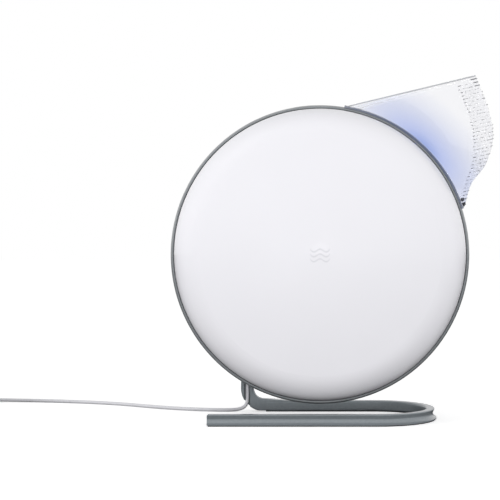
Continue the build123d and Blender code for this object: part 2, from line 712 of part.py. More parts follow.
def make_diffuser_top_wall():
    inner = DIFFUSER_HALF - WALL_T
    return over_collar(plate(top_strip() & diffuser_outline(), -inner, inner))


def make_diffuser_cells():
    """Rows of small channels along the jet that straighten the air on its way out."""
    inner = DIFFUSER_HALF - WALL_T
    inside = Spline(*CELLS_INSIDE)
    outlet = Spline(*OUTLET)
    lines = [Line(TIP, CELLS_INSIDE[0]), inside, Line(CELLS_INSIDE[-1], OUTLET[-1]), outlet]
    band = make_face(lines) & diffuser_outline()
    band -= top_strip()
    # The latches need their room between the cells and the collar
    band -= Circle(SADDLE_R + LATCH_T + 0.4)
    rise = radians(JET_RISE)
    fins = []
    for row in range(1, CELL_ROWS + 1):
        across = row * CELL_PITCH
        middle = (TIP[0] + across * sin(rise), TIP[1] - across * cos(rise))
        fins.append(Pos(*middle) * Rot(0, 0, JET_RISE) * Rectangle(120, CELL_WALL))
    grid = plate(band & fuse_all(fins[0], fins[1:]), -inner, inner)
    pitch = 2 * inner / CELL_COLUMNS
    for column in range(1, CELL_COLUMNS):
        middle = column * pitch - inner
        grid += plate(band, middle - CELL_WALL / 2, middle + CELL_WALL / 2)
    return grid


def make_diffuser_collar():
    """The frame at the diffuser's root: a plug in the rim's slot and a flange on the rim."""
    inner = DIFFUSER_HALF - WALL_T
    flange_half = DIFFUSER_HALF + 1.2
    plug = plate(sector(RING_IN + GAP, SADDLE_R, SLOT_START + 0.5, SLOT_END - 0.5),
                 -DIFFUSER_HALF, DIFFUSER_HALF)
    flange = plate(sector(RING_IN, SADDLE_R + 1, SLOT_START - 1.0, SLOT_END + 3.0),
                   -flange_half, flange_half) - crowned_disc(GAP)
    mouth = plate(sector(RING_IN - 2, SADDLE_R + 2, SLOT_START + 1.8, SLOT_END - 1.8),
                  -inner, inner)
    return (plug + flange) & crowned_disc(GAP + COLLAR_T) - mouth


def make_diffuser_latches():
    """Two dark snap tongues at the collar's lower end."""
    tongue = Box(LATCH_T, 2 * (DIFFUSER_HALF - WALL_T) - 0.4, 2.6)
    found = []
    for angle in LATCH_ANGLES:
        u, v = polar(SADDLE_R + LATCH_T / 2, angle)
        found.append(Pos(u, 0, v) * Rot(0, -angle, 0) * tongue)
    return found


# ---- Lamps, board and button -----------------------------------------------------------
def make_led_strip():
    return plate(sector(122, 130, 26, 70), CHAMBER_HALF - 1.2, CHAMBER_HALF)


def make_leds():
    lamp = Pos(126, CHAMBER_HALF - 1.9, 0) * Box(3.4, 1.4, 3.4)
    return [Rot(0, -(29.5 + 5.3 * step), 0) * lamp for step in range(8)]


def make_light_guide():
    return plate(sector(121, 130.8, 25, 71), CHAMBER_HALF - 4.4, CHAMBER_HALF - 2.6)


def make_board():
    board = Pos(0, BOARD_W + BOARD_T / 2, BOARD_V) * Box(BOARD_L, BOARD_T, BOARD_H)
    hole = tube(0, 1.7, BOARD_W - 1, BOARD_W + BOARD_T + 1)
    return cut_all(board, [Pos(u, 0, v) * hole for u, v in BOARD_HOLES])


def make_board_posts():
    return [Pos(u, 0, v) * tube(1.2, 3.2, BULKHEAD_W, BOARD_W) for u, v in BOARD_HOLES]


def make_board_screws():
    screw = screws(0, (0,), 1.15, 2.6, BOARD_W + 3.4, BULKHEAD_W + 1)[0]
    return [Pos(u, 0, v) * screw for u, v in BOARD_HOLES]


def make_board_parts():
    """What stands on the board: chips, capacitors, a coil and its sockets."""
    top = BOARD_W + BOARD_T
    chips = [(-8, BOARD_V + 2, 12, 12, 1.6), (16, BOARD_V - 6, 8, 6, 1.4),
             (-26, BOARD_V - 10, 6, 5, 1.4), (30, BOARD_V + 12, 9, 6, 5.5),
             (-30, BOARD_V + 12, 12, 6, 5.5), (0, BOARD_V - 18, 16, 5, 6)]
    found = [Pos(u, top + t / 2, v) * Box(x, t, y) for u, v, x, y, t in chips]
    for u, v, r, t in [(14, BOARD_V + 14, 3.2, 9), (24, BOARD_V - 16, 4.0, 10),
                       (-18, BOARD_V + 15, 2.5, 7), (-30, BOARD_V, 5.0, 5)]:
        found.append(Pos(u, 0, v) * tube(0, r, top, top + t))
    return found


def button_blank(grow, r0, r1):
    """The button's rounded outline, made solid along a radius of the rim."""
    pill = SlotOverall(BUTTON_L + 2 * grow, BUTTON_W + 2 * grow)
    upright = Pos(0, BUTTON_AT_W, r0) * extrude(pill, r1 - r0)
    return Rot(0, 90 - BUTTON_ANGLE, 0) * upright


def make_button():
    """A cap that stands a little proud of the rim, on a flange that keeps it in."""
    proud = 0.4
    cap = button_blank(0, RING_IN - 1.2, RING_R + BEYOND) & crowned_disc(proud)
    return cap + button_blank(1.0, RING_IN - 1.7, RING_IN - 0.9)


def make_button_switch():
    body = Pos(0, BUTTON_AT_W, SWITCH_TOP - 0.8) * Box(6, 5.8, 1.6)
    nub = Pos(0, BUTTON_AT_W, SWITCH_TOP + 0.1) * Cylinder(1.6, 0.3)
    return Rot(0, 90 - BUTTON_ANGLE, 0) * (body + nub)


# ---- Write every node ------------------------------------------------------------------
def make_nodes():
    magnet = (-CATCH_W + 0.1, -CATCH_W + 3.0)
    yield "front_cover", make_front_cover()
    yield "cover_mark", make_cover_mark()
    yield "cover_catch_plates", pegs(POST_AT, POST_ANGLES, 4.5, -CATCH_W - 1.0, -CATCH_W)
    yield "cover_magnets", pegs(POST_AT, POST_ANGLES, 4.5, *magnet)
    yield "rear_cover", make_rear_cover()
    yield "rear_cover_screws", screws(POST_AT, POST_ANGLES, 1.4, 2.6, CHAMBER_HALF - 1.8, 27)
    yield "front_ring", make_ring(False)
    yield "rear_ring", make_ring(True)
    yield "front_bulkhead", make_front_bulkhead()
    yield "rear_bulkhead", make_rear_bulkhead()
    yield "housing_screws", screws(LUG_AT, LUG_ANGLES, 1.45, 2.4, -BULKHEAD_W - 1.8, 11.5)
    yield "volute_wall", make_volute_wall()
    yield "impeller", make_impeller()
    yield "motor_base", make_motor_base()
    yield "motor_stator", make_motor_stator()
    yield "motor_rotor", make_motor_rotor()
    yield "motor_magnets", tube(ROTOR_R - 2.6, ROTOR_R - 1.2, -5, 6)
    yield "motor_shaft", tube(0, SHAFT_R, ROTOR_FRONT, 7.4)
    yield "motor_screws", screws(MOTOR_SCREW_AT, MOTOR_SCREW_ANGLES, 1.4, 2.4, BULKHEAD_W + 1.8,
                                 8.2)
    yield "filter_frame", make_filter_frame()
    yield "filter_pleats", make_filter_pleats()
    yield "prefilter_grid", make_prefilter()
    yield "filter_gasket", tube(FILTER_R - 8, FILTER_R, -FILTER_BACK, -BULKHEAD_W)
    yield "filter_pull_tab", make_filter_tab()
    yield "hub_flange", make_hub_flange()
    yield "hub_bush", tube(AXLE_R + FIT, BUSH_R, 22, SLEEVE_END - 0.2)
    yield "flange_screws", screws(FLANGE_SCREW_AT, FLANGE_ANGLES, 1.45, 2.6, BULKHEAD_W + 4.8,
                                  10.5)
    yield "axle", make_axle()
    yield "friction_washer", tube(AXLE_R + 0.3, 18, SLEEVE_END, HEAD_FRONT)
    yield "axle_nut", make_axle_nut()
    yield "hub_cap", tube(0, 17.8, 73.0, HEAD_BACK)
    yield "stand", make_stand()
    yield "foot_strip", make_foot_strip()
    yield "dc_jack", jack_block(9.2, 8.0)
    yield "lead_plug", make_lead_plug()
    yield "arm_lead", in_body_frame(make_arm_lead())
    yield "lead_clips", make_lead_clips()
    yield "free_lead", in_body_frame(lead_tube("free_lead", ROUTE))
    yield "lead_coil", in_body_frame(make_coil())
    yield "coil_tie", in_body_frame(make_coil_tie())
    yield "lead_tail", in_body_frame(lead_tube("lead_tail", TAIL))
    yield "usb_plug_body", in_body_frame(make_plug_body())
    yield "usb_plug_shell", in_body_frame(make_plug_shell())
    yield "diffuser_front_wall", make_diffuser_wall(True)
    yield "diffuser_rear_wall", make_diffuser_wall(False)
    yield "diffuser_top_wall", make_diffuser_top_wall()
    yield "diffuser_cells", make_diffuser_cells()
    yield "diffuser_collar", make_diffuser_collar()
    yield "diffuser_latches", make_diffuser_latches()
    yield "led_strip", make_led_strip()
    yield "leds", make_leds()
    yield "light_guide", make_light_guide()
    yield "control_board", make_board()
    yield "board_posts", make_board_posts()
    yield "board_screws", make_board_screws()
    yield "board_parts", make_board_parts()
    yield "power_button", make_button()
    yield "button_switch", make_button_switch()


os.makedirs("parts", exist_ok=True)
for node_name, node_shape in make_nodes():
    save(node_name, node_shape)
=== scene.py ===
import json
import math
import random

import bmesh
import bpy
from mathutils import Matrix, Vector


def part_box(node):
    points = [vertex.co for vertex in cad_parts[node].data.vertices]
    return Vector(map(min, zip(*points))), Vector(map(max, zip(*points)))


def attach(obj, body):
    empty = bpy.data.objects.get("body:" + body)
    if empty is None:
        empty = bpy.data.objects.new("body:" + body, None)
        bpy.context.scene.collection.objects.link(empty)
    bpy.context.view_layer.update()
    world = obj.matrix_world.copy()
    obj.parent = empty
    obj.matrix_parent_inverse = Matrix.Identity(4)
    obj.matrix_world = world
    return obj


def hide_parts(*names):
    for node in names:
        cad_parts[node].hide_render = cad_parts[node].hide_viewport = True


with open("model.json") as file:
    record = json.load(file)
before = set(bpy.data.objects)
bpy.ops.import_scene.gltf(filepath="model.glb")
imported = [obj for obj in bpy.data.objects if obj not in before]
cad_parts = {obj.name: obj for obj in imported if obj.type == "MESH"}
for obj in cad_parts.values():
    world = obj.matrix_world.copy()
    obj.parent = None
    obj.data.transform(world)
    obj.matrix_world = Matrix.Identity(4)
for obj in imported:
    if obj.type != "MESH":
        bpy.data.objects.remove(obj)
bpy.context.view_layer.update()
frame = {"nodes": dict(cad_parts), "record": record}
nodes = frame["nodes"]

# ---- The frame's places, in metres --------------------------------------------------------
ring_low, ring_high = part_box("front_ring")
RING_R = (ring_high.x - ring_low.x) / 2
C = Vector(((ring_low.x + ring_high.x) / 2, ring_high.y, (ring_low.z + ring_high.z) / 2))
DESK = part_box("foot_strip")[0].z
MM = 0.001


def disc(u, w, v):
    """A point given in millimetres right of, behind and above the body's centre."""
    return C + Vector((u, w, v)) * MM


# ---- Camera -------------------------------------------------------------------------------
CAMERA_AWAY = 1.086
CAMERA_LENS = 86.3


def make_camera():
    data = bpy.data.cameras.new("camera")
    data.lens = CAMERA_LENS
    data.sensor_width = 36
    data.shift_x = -0.14
    data.shift_y = 0.009
    camera = bpy.data.objects.new("camera", data)
    camera.location = C - Vector((0, CAMERA_AWAY, 0))
    camera.rotation_euler = (math.pi / 2, 0, 0)
    bpy.context.scene.collection.objects.link(camera)
    bpy.context.scene.camera = camera


# ---- Power lead ---------------------------------------------------------------------------
LEAD_D = 0.0035
ROUTE = [
    (-0.08075, 0.0614, 0.0135),
    (-0.08085, 0.0614, 0.0086),
    (-0.0833, 0.0612, 0.0042),
    (-0.0896, 0.0602, 0.00175),
    (-0.1010, 0.0574, 0.00175),
    (-0.1214, 0.0600, 0.00175),
    (-0.1500, 0.0690, 0.00175),
    (-0.1760, 0.0830, 0.00175),
    (-0.2090, 0.1045, 0.00175),
    (-0.2460, 0.1195, 0.00175),
    (-0.2870, 0.1295, 0.00175),
    (-0.3280, 0.1330, 0.0021),
    (-0.3640, 0.1326, 0.00265),
]
COIL_AT = (-0.3640, 0.1087)
COIL_MEAN_R = 0.0204
COIL_ROWS = 3
COIL_LOW = 0.00265
COIL_TURNS = 11.25
COIL_STEPS = 16
TAIL = [
    (-0.3879, 0.1087, 0.01315),
    (-0.3883, 0.0980, 0.0122),
    (-0.3874, 0.0840, 0.0076),
    (-0.3854, 0.0695, 0.0039),
    (-0.3840, 0.0580, 0.0033),
]


def coil_points():
    """The coil's control points: out and in across a layer, then up to the next."""
    points = []
    overshoot = 1 / math.cos(math.pi / COIL_STEPS)
    for step in range(1, int(COIL_TURNS * COIL_STEPS)):
        turn, part = divmod(step / COIL_STEPS, 1)
        ease = max(0.0, (part - 0.75) * 4)
        places = []
        for number in (int(turn), int(turn) + 1):
            layer, row = divmod(number, COIL_ROWS)
            inwards = row if layer % 2 == 0 else COIL_ROWS - 1 - row
            radius = COIL_MEAN_R + (COIL_ROWS - 1) / 2 * LEAD_D - inwards * LEAD_D
            places.append((radius, COIL_LOW + layer * LEAD_D))
        radius = places[0][0] * (1 - ease) + places[1][0] * ease
        height = places[0][1] * (1 - ease) + places[1][1] * ease
        angle = math.pi / 2 + 2 * math.pi * step / COIL_STEPS
        points.append((COIL_AT[0] + radius * overshoot * math.cos(angle),
                       COIL_AT[1] + radius * overshoot * math.sin(angle), height))
    return points


def make_lead():
    points = ROUTE + coil_points() + TAIL
    data = bpy.data.curves.new("lead", "CURVE")
    data.dimensions = "3D"
    spline = data.splines.new("NURBS")
    spline.points.add(len(points) - 1)
    for point, co in zip(spline.points, points):
        point.co = (*co, 1)
        point.radius = LEAD_D / 2  # Blender's own box of a curve counts this radius
    spline.order_u = 3
    spline.use_endpoint_u = True
    spline.resolution_u = 8
    data.bevel_depth = 1.0
    data.bevel_resolution = 5
    data.use_fill_caps = True
    lead = bpy.data.objects.new("lead", data)
    bpy.context.scene.collection.objects.link(lead)
    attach(lead, "stand_base")
    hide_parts("free_lead", "lead_coil", "lead_tail")
    return lead


# ---- Materials ----------------------------------------------------------------------------
class Nodes:
    """A short way to write a procedural material: a Principled shader and what feeds it."""

    def __init__(self, name, color, roughness, **values):
        self.material = bpy.data.materials.new(name)
        self.material.use_nodes = True
        self.tree = self.material.node_tree
        self.shader = self.tree.nodes["Principled BSDF"]
        self.shader.inputs["Base Color"].default_value = (*color, 1)
        self.shader.inputs["Roughness"].default_value = roughness
        for key, value in values.items():
            self.shader.inputs[key.replace("_", " ")].default_value = value

    def add(self, kind, **settings):
        node = self.tree.nodes.new(kind)
        for key, value in settings.items():
            setattr(node, key, value)
        return node

    def link(self, out, into):
        self.tree.links.new(out, into)

    def place(self):
        return self.add("ShaderNodeTexCoord").outputs["Object"]

    def noise(self, scale, detail=3.0, stretch=None):
        noise = self.add("ShaderNodeTexNoise")
        noise.inputs["Scale"].default_value = scale
        noise.inputs["Detail"].default_value = detail
        place = self.place()
        if stretch:
            mapping = self.add("ShaderNodeMapping")
            mapping.inputs["Scale"].default_value = stretch
            self.link(place, mapping.inputs["Vector"])
            place = mapping.outputs["Vector"]
        self.link(place, noise.inputs["Vector"])
        return noise.outputs["Fac"]

    def spread(self, value, low, high, start=0.3, end=0.7):
        """A value stretched from start..end to low..high."""
        node = self.add("ShaderNodeMapRange")
        node.inputs["From Min"].default_value = start
        node.inputs["From Max"].default_value = end
        node.inputs["To Min"].default_value = low
        node.inputs["To Max"].default_value = high
        self.link(value, node.inputs["Value"])
        return node.outputs["Result"]

    def ramp(self, value, *stops):
        """A colour from a value, by stops of (position, colour)."""
        node = self.add("ShaderNodeValToRGB")
        elements = node.color_ramp.elements
        while len(elements) < len(stops):
            elements.new(0.5)
        for element, (position, color) in zip(elements, stops):
            element.position = position
            element.color = (*color, 1)
        self.link(value, node.inputs["Fac"])
        return node.outputs["Color"]

    def bump(self, height, strength, distance=0.0002):
        node = self.add("ShaderNodeBump")
        node.inputs["Strength"].default_value = strength
        node.inputs["Distance"].default_value = distance
        self.link(height, node.inputs["Height"])
        self.link(node.outputs["Normal"], self.shader.inputs["Normal"])

    def multiply(self, first, second):
        node = self.add("ShaderNodeMix", data_type="RGBA", blend_type="MULTIPLY")
        node.inputs[0].default_value = 1.0
        self.link(first, node.inputs[6])
        self.link(second, node.inputs[7])
        return node.outputs[2]

    def below_top_edge(self):
        """How far a point of the diffuser is below its top edge, from 0 to 1 over a strip."""
        across = Vector((math.sin(RISE), 0, -math.cos(RISE)))
        dot = self.add("ShaderNodeVectorMath", operation="DOT_PRODUCT")
        self.link(self.place(), dot.inputs[0])
        dot.inputs[1].default_value = across
        level = disc(TIP.x, 0, TIP.y).dot(across)
        return self.spread(dot.outputs["Value"], 0, 1, level, level + EDGE_LINE)

    def color(self, value):
        self.link(value, self.shader.inputs["Base Color"])

    def roughness(self, value):
        self.link(value, self.shader.inputs["Roughness"])


def shade(color, factor):
    return tuple(channel * factor for channel in color)


def moulded(name, color, roughness, grain=2600, vary=0.04, strength=0.12, **values):
    """Moulded plastic: a fine spark-eroded grain and slight changes of tone."""
    n = Nodes(name, color, roughness, **values)
    tone = n.noise(14, 2)
    n.color(n.ramp(tone, (0.3, shade(color, 1 - vary)), (0.7, color)))
    n.roughness(n.spread(n.noise(60, 3), roughness - 0.04, roughness + 0.05))
    n.bump(n.noise(grain, 2), strength, 0.00004)
    return n.material


def satin_paint(name, color, roughness):
    """Powder coat on metal: a low orange peel with a fine sparkle of grain."""
    n = Nodes(name, color, roughness, Metallic=0.25, Coat_Weight=0.45, Coat_Roughness=0.16)
    n.color(n.ramp(n.noise(420, 4), (0.3, shade(color, 0.93)), (0.7, shade(color, 1.04))))
    n.roughness(n.spread(n.noise(300, 3), roughness - 0.05, roughness + 0.06))
    n.bump(n.noise(1300, 3), 0.18, 0.00005)
    return n.material


def metal(name, color, roughness, stretch=(1, 40, 1)):
    """Bare turned or drawn metal with fine lines."""
    n = Nodes(name, color, roughness, Metallic=1.0)
    lines = n.noise(500, 4, stretch)
    n.color(n.ramp(lines, (0.3, shade(color, 0.88)), (0.7, color)))
    n.roughness(n.spread(lines, roughness - 0.06, roughness + 0.1))
    n.bump(lines, 0.1, 0.00003)
    return n.material


def soft_rubber(name, color, roughness=0.62, vary=0.14, strength=0.25):
    n = Nodes(name, color, roughness)
    low, high = shade(color, 1 - vary), shade(color, 1 + vary / 2)
    n.color(n.ramp(n.noise(240, 4), (0.3, low), (0.7, high)))
    n.roughness(n.spread(n.noise(90, 3), roughness - 0.08, roughness + 0.08))
    n.bump(n.noise(1900, 3), strength, 0.00006)
    return n.material


def woven(name, color, scale=900):
    n = Nodes(name, color, 0.85, Sheen_Weight=0.3)
    wave_x = n.add("ShaderNodeTexWave", bands_direction="X")
    wave_z = n.add("ShaderNodeTexWave", bands_direction="Z")
    for wave in (wave_x, wave_z):
        wave.inputs["Scale"].default_value = scale
        n.link(n.place(), wave.inputs["Vector"])
    cross = n.add("ShaderNodeMath", operation="MULTIPLY")
    n.link(wave_x.outputs["Fac"], cross.inputs[0])
    n.link(wave_z.outputs["Fac"], cross.inputs[1])
    n.color(n.ramp(cross.outputs[0], (0.0, shade(color, 0.7)), (0.6, color)))
    n.bump(cross.outputs[0], 0.5, 0.0002)
    return n.material


GLOW_AT = disc(91.5, 0, 94.7)
GLOW_NEAR, GLOW_FAR = 0.004, 0.062


def glow_distance(n):
    """How far a point is from the lamps behind the rim, from 0 near them to 1 out of reach.

    The light fans out along the rim more than away from it, so distances are measured in a
    frame turned to the diffuser's pull-out direction and squeezed along the rim.
    """
    mapping = n.add("ShaderNodeMapping", vector_type="TEXTURE")
    mapping.inputs["Location"].default_value = GLOW_AT
    mapping.inputs["Rotation"].default_value = (0, -math.radians(46), 0)
    mapping.inputs["Scale"].default_value = (1, 1.6, 2.1)
    n.link(n.place(), mapping.inputs["Vector"])
    length = n.add("ShaderNodeVectorMath", operation="LENGTH")
    n.link(mapping.outputs["Vector"], length.inputs[0])
    return n.spread(length.outputs["Value"], 0, 1, GLOW_NEAR, GLOW_FAR)


CLEAR_FAR = (0.955, 0.955, 0.968)
# Painted lamp glow: the clear plastic's colour tinted blue by distance from the lamps, as a
# share of their reach
LAMP_GLOW_PAINT_TONES = [(0.0, (0.48, 0.55, 0.79)), (0.06, (0.515, 0.59, 0.81)),
               (0.16, (0.70, 0.745, 0.90)), (0.33, (0.80, 0.825, 0.92)),
               (0.52, (0.89, 0.90, 0.945)), (0.74, CLEAR_FAR)]
# Painted glow: an emission colour that makes the clear plastic glow blue near the lamps, though
# it is no lamp
GLOW_LIGHT = (0.10, 0.16, 0.75)
RISE = math.radians(13.4)
TOP_START, TIP = Vector((18.9, 131.9)), Vector((140.5, 161.2))
# Width of the strip of painted shade along the diffuser's top edge
EDGE_LINE = 0.0020


def clear(name, roughness=0.02, painted_top_edge_shade=False, alpha=1.0):
    """Clear polished plastic with the lamps' blue painted into its colour and its emission near
    the rim.

    Where a flat wall meets the straight top wall, a strip is painted darker: painted shade
    for the light that passes the long way through the plastic there.
    """
    n = Nodes(name, CLEAR_FAR, roughness, Transmission_Weight=1.0, IOR=1.46)
    reach = glow_distance(n)
    # Painted lamp glow: the colour is tinted blue near the lamps
    tone = n.ramp(reach, *LAMP_GLOW_PAINT_TONES)
    if painted_top_edge_shade:
        # Painted shade: a dark strip along the top edge, multiplied into the colour
        strip = n.ramp(n.below_top_edge(), (0.0, (0.20, 0.21, 0.23)), (0.6, (0.30, 0.31, 0.33)),
                       (0.95, (1, 1, 1)))
        tone = n.multiply(tone, strip)
    n.color(tone)
    n.roughness(n.spread(n.noise(35, 3), roughness, roughness + 0.02))
    # Painted glow: a faint blue emission on the plastic near the lamps
    n.link(n.ramp(reach, (0.0, GLOW_LIGHT), (0.5, (0, 0, 0))), n.shader.inputs["Emission Color"])
    n.shader.inputs["Emission Strength"].default_value = 0.03
    n.shader.inputs["Alpha"].default_value = alpha
    return n.material


def painted_fin_shade(name, dark=(0.15, 0.16, 0.19), light=(0.48, 0.49, 0.53)):
    """Painted shade: the same plastic seen end on through a long way of it, coloured darker and
    uneven.
    """
    n = Nodes(name, dark, 0.3, Alpha=0.75)
    n.color(n.ramp(n.noise(260, 3), (0.38, dark), (0.62, light)))
    n.roughness(n.spread(n.noise(500, 3), 0.2, 0.4))
    return n.material


def clear_vane(name, alpha):
    """Thin clear fins and sheets, hardly seen but where their thickness changes, which is shown
    by streaks of painted shade.
    """
    light, dark = (0.98, 0.98, 0.985), (0.80, 0.81, 0.83)
    n = Nodes(name, light, 0.05, Transmission_Weight=1.0, IOR=1.1, Alpha=alpha)
    shade_streaks = n.noise(420, 2, (1, 0.25, 3.2))
    # Painted shade: darker streaks in the colour of the clear fins
    n.color(n.ramp(shade_streaks, (0.5, light), (0.62, dark)))
    n.roughness(n.spread(n.noise(300, 2), 0.03, 0.10))
    return n.material


def lit_collar():
    """The grey frame at the diffuser's root, with the lamps' blue light from inside painted into
    its colour near them.
    """
    far, near = (0.26, 0.27, 0.285), (0.12, 0.145, 0.235)
    n = Nodes("lit_collar", far, 0.35)
    # Painted light: darker blue near the lamps, grey further away
    n.color(n.ramp(glow_distance(n), (0.15, near), (1.0, far)))
    n.bump(n.noise(2200, 2), 0.1, 0.00004)
    return n.material


def lamp_glow():
    n = Nodes("lamps", (0.4, 0.5, 1.0), 0.3)
    tone = n.ramp(n.noise(90, 2), (0.3, (0.18, 0.26, 1.0)), (0.7, (0.26, 0.36, 1.0)))
    n.link(tone, n.shader.inputs["Emission Color"])
    n.shader.inputs["Emission Strength"].default_value = 6.0
    return n.material


def paper(name):
    n = Nodes(name, (0.86, 0.86, 0.83), 0.9)
    fibre = n.noise(700, 6, (1, 1, 0.3))
    n.color(n.ramp(fibre, (0.35, (0.76, 0.76, 0.73)), (0.65, (0.88, 0.88, 0.86))))
    n.bump(fibre, 0.4, 0.0001)
    return n.material


WHITE = (0.855, 0.85, 0.89)
GREY = (0.235, 0.25, 0.262)
PAINT = (0.225, 0.25, 0.268)
materials = {
    "white_cover": moulded("satin_white", WHITE, 0.36, 3200, 0.015, 0.05, Coat_Weight=0.4,
                           Coat_Roughness=0.2),
    "grey_rim": moulded("satin_grey", GREY, 0.38, 2600, 0.05, 0.10),
    "inner_plastic": moulded("dark_plastic", (0.06, 0.063, 0.07), 0.5, 1800, 0.2, 0.2),
    "clear_plastic": clear("clear_plastic"),
    "grey_metal": satin_paint("powder_grey", PAINT, 0.34),
    "rubber": soft_rubber("black_rubber", (0.028, 0.028, 0.03)),
    "white_lead": soft_rubber("white_sheath", (0.66, 0.66, 0.69), 0.42, 0.02, 0.04),
    "white_plug": moulded("white_plug", (0.80, 0.80, 0.82), 0.4),
    "steel": metal("turned_steel", (0.56, 0.56, 0.58), 0.3),
    "nickel": metal("nickel", (0.72, 0.72, 0.71), 0.16),
    "magnet": metal("plated_magnet", (0.6, 0.6, 0.62), 0.12),
    "bronze": metal("sintered_bronze", (0.62, 0.42, 0.2), 0.38, (8, 8, 8)),
    "copper_core": metal("copper_wire", (0.78, 0.38, 0.18), 0.34, (1, 60, 1)),
    "fan_plastic": moulded("fan_plastic", (0.035, 0.035, 0.04), 0.42, 1500, 0.25, 0.2),
    "filter_paper": paper("pleat_paper"),
    "filter_plastic": moulded("filter_frame_plastic", (0.66, 0.67, 0.69), 0.5),
    "foam": soft_rubber("foam", (0.06, 0.06, 0.065), 0.9),
    "tab_fabric": woven("tab_fabric", (0.10, 0.22, 0.5)),
    "board": moulded("board_mask", (0.01, 0.09, 0.045), 0.3, 900, 0.3, 0.1),
    "parts": moulded("board_parts", (0.03, 0.03, 0.034), 0.45),
    "lamp": lamp_glow(),
    "mark": moulded("mark_print", (0.74, 0.74, 0.78), 0.5, 1500, 0.03, 0.05),
    "clear_wall": clear("clear_wall", painted_top_edge_shade=True),
    "clear_rim": clear("clear_rim", alpha=0.3),
    "painted_fin_shade": painted_fin_shade("painted_fin_shade"),
    "clear_vane": clear_vane("clear_vane", 0.15),
}
own_material = {"diffuser_collar": lit_collar()}


def finish_cad_nodes():
    """Every CAD node takes the material of its slot."""
    for part in frame["record"]["subparts"]:
        mesh = nodes[part["node"]].data
        mesh.materials.clear()
        slot_material = materials[part["material_slot"]]
        mesh.materials.append(own_material.get(part["node"], slot_material))


# ---- Mesh helpers -------------------------------------------------------------------------
def link_mesh(name, bm, *mesh_materials):
    """A new object with this mesh and these materials."""
    mesh = bpy.data.meshes.new(name)
    bmesh.ops.recalc_face_normals(bm, faces=bm.faces)
    bm.to_mesh(mesh)
    bm.free()
    for material in mesh_materials:
        mesh.materials.append(material)
    thing = bpy.data.objects.new(name, mesh)
    bpy.context.scene.collection.objects.link(thing)
    return thing


def settle(thing):
    """Apply every modifier of an object to its mesh."""
    graph = bpy.context.evaluated_depsgraph_get()
    mesh = bpy.data.meshes.new_from_object(thing.evaluated_get(graph))
    thing.modifiers.clear()
    thing.data = mesh


def smooth_shade(thing, angle=35):
    """Smooth shading with sharp edges where faces meet at more than an angle."""
    bm = bmesh.new()
    bm.from_mesh(thing.data)
    limit = math.radians(angle)
    for face in bm.faces:
        face.smooth = True
    for edge in bm.edges:
        edge.smooth = edge.is_manifold and edge.calc_face_angle(0) < limit
    bm.to_mesh(thing.data)
    bm.free()


def prism(outline, w0, w1, bm=None, index=0):
    """A closed prism over an outline in the body's plane, from depth w0 to depth w1, in mm."""
    bm = bm or bmesh.new()
    near = [bm.verts.new(disc(u, w0, v)) for u, v in outline]
    far = [bm.verts.new(disc(u, w1, v)) for u, v in outline]
    faces = [bm.faces.new(near), bm.faces.new(reversed(far))]
    count = len(outline)
    for i in range(count):
        j = (i + 1) % count
        faces.append(bm.faces.new((near[j], near[i], far[i], far[j])))
    for face in faces:
        face.material_index = index
    return bm


def spline_points(knots, steps=8):
    """Points on a smooth curve through 2-D knots (a centripetal Catmull-Rom spline)."""
    pts = [Vector(k) for k in knots]
    pts = [2 * pts[0] - pts[1]] + pts + [2 * pts[-1] - pts[-2]]
    found = []
    for a, b, c, d in zip(pts, pts[1:], pts[2:], pts[3:]):
        t1 = (b - a).length ** 0.5
        t2 = t1 + (c - b).length ** 0.5
        t3 = t2 + (d - c).length ** 0.5
        for step in range(steps):
            t = t1 + (t2 - t1) * step / steps
            ab = a * (t1 - t) / t1 + b * t / t1
            bc = b * (t2 - t) / (t2 - t1) + c * (t - t1) / (t2 - t1)
            cd = c * (t3 - t) / (t3 - t2) + d * (t - t2) / (t3 - t2)
            abc = ab * (t2 - t) / t2 + bc * t / t2
            bcd = bc * (t3 - t) / (t3 - t1) + cd * (t - t1) / (t3 - t1)
            found.append(abc * (t2 - t) / (t2 - t1) + bcd * (t - t1) / (t2 - t1))
    return found + [pts[-2]]


# ---- Diffuser -----------------------------------------------------------------------------
# Its outline in millimetres from the body's axis: the straight top edge, then the outlet
SADDLE_R = 136.8
OUTLET = [TIP, (152.2, 131.5), (156.5, 106.8), (149.8, 81.1), (136.9, 63.6), (130.9, 43.4)]
CELLS_INSIDE = [(122.9, 151.0), (134.2, 121.4), (137.2, 103.0), (135.2, 79.0), (127.9, 57.0)]
WALL_OUT, WALL_IN = 11.7, 9.9
CELL_PITCH = 3.1
FIN_T = 0.36
OUTLET_BACK = 1.3
TOP_WALL_T = 1.9
COLLAR_CLEAR = 1.9
EDGE_ROUND = 0.45
SLIP = 0.1
SHEETS_AT, SHEET_T = (-3.3, 3.3), 0.3
SHEET_MARGIN = 0.4
CROWN_HALF, CROWN_SAG = 14.0, 2.6
DASH_DEEP = 2.5


def rim_crown(grow, segments=256, steps=16):
    """A solid of the rim's crowned outer face, with its radius grown by some millimetres."""
    bm = bmesh.new()
    rings = []
    for step in range(steps + 1):
        w = -CROWN_HALF + 2 * CROWN_HALF * step / steps
        radius = RING_R / MM + grow - CROWN_SAG * (w / CROWN_HALF) ** 2
        turns = [2 * math.pi * i / segments for i in range(segments)]
        rings.append([bm.verts.new(disc(radius * math.cos(a), w, radius * math.sin(a)))
                      for a in turns])
    for a, b in zip(rings, rings[1:]):
        for i in range(segments):
            j = (i + 1) % segments
            bm.faces.new((a[i], a[j], b[j], b[i]))
    bm.faces.new(rings[0])
    bm.faces.new(reversed(rings[-1]))
    return link_mesh("rim_tool", bm)


def cut_away(thing, tool):
    """Take one solid out of another, and remove the tool."""
    cut = thing.modifiers.new("cut", "BOOLEAN")
    cut.object = tool
    cut.solver = "EXACT"
    settle(thing)
    bpy.data.objects.remove(tool)


